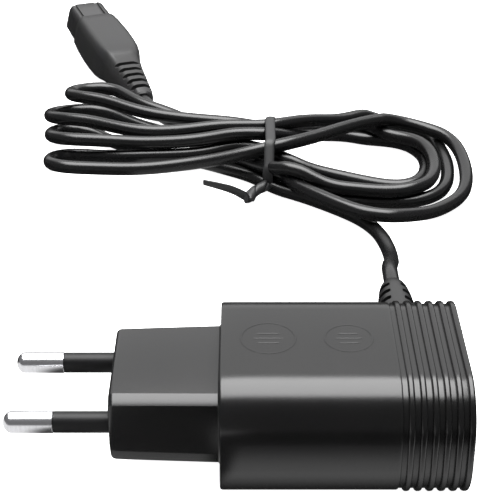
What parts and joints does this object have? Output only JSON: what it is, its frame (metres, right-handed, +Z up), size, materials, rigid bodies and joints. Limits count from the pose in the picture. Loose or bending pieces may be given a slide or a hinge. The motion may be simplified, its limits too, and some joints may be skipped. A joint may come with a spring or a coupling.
{
  "type": "plug-in clipper charger",
  "caption": "Black plug-in mains charger with round pins, ribbed casing end, thin lead in a tied hank and an oblong low-voltage connector.",
  "frame": {"origin": "on the surface the adapter lies on, under the middle of its box from pin tips to ribbed end", "axes": "-X along the mains pins, +Y the way the lead leaves, +Z up from the broad side that the adapter lies on"},
  "size_m": [0.1135, 0.2338, 0.0237],
  "materials": {
    "casing": "satin-gloss black ABS",
    "plug_block": "satin-gloss black polycarbonate",
    "pin_metal": "bright nickel-plated brass",
    "pin_sleeve": "black insulating sleeve",
    "board": "paper-phenolic circuit board",
    "capacitor_sleeve": "shrunk plastic sleeve on aluminium",
    "ferrite": "sintered ferrite",
    "bobbin": "moulded phenolic",
    "winding_tape": "yellow polyester tape",
    "chip_epoxy": "moulded epoxy",
    "resistor_body": "lacquered ceramic",
    "ceramic_blue": "blue dipped coating",
    "wire_blue": "PVC insulation",
    "wire_black": "PVC insulation",
    "cord_pvc": "satin black soft PVC",
    "tie_coating": "black plastic-coated wire",
    "connector_pvc": "matt black moulded PVC",
    "contact_brass": "plated brass spring contact"
  },
  "bodies": {
    "root": {"main_housing": "casing", "plug_front": "plug_block", "pin_front": "pin_metal", "pin_rear": "pin_metal", "pin_sleeve_front": "pin_sleeve", "pin_sleeve_rear": "pin_sleeve", "mains_wire_front": "wire_blue", "mains_wire_rear": "wire_blue", "circuit_board": "board", "transformer_core": "ferrite", "transformer_bobbin": "bobbin", "transformer_winding": "winding_tape", "input_capacitor_1": "capacitor_sleeve", "input_capacitor_2": "capacitor_sleeve", "output_capacitor": "capacitor_sleeve", "bridge_rectifier": "chip_epoxy", "controller_chip": "chip_epoxy", "optocoupler": "chip_epoxy", "output_diode": "chip_epoxy", "fusible_resistor": "resistor_body", "snubber_resistor": "resistor_body", "y_capacitor": "ceramic_blue", "filter_inductor": "ferrite", "output_wire_positive": "wire_black", "output_wire_negative": "wire_black", "strain_relief": "cord_pvc", "cord_lead": "cord_pvc", "cord_hank": "cord_pvc", "cord_end": "cord_pvc", "twist_tie": "tie_coating", "connector_grip": "connector_pvc", "connector_nose": "connector_pvc", "contact_carrier": "connector_pvc", "contact_left": "contact_brass", "contact_right": "contact_brass"}
  },
  "joints": []
}
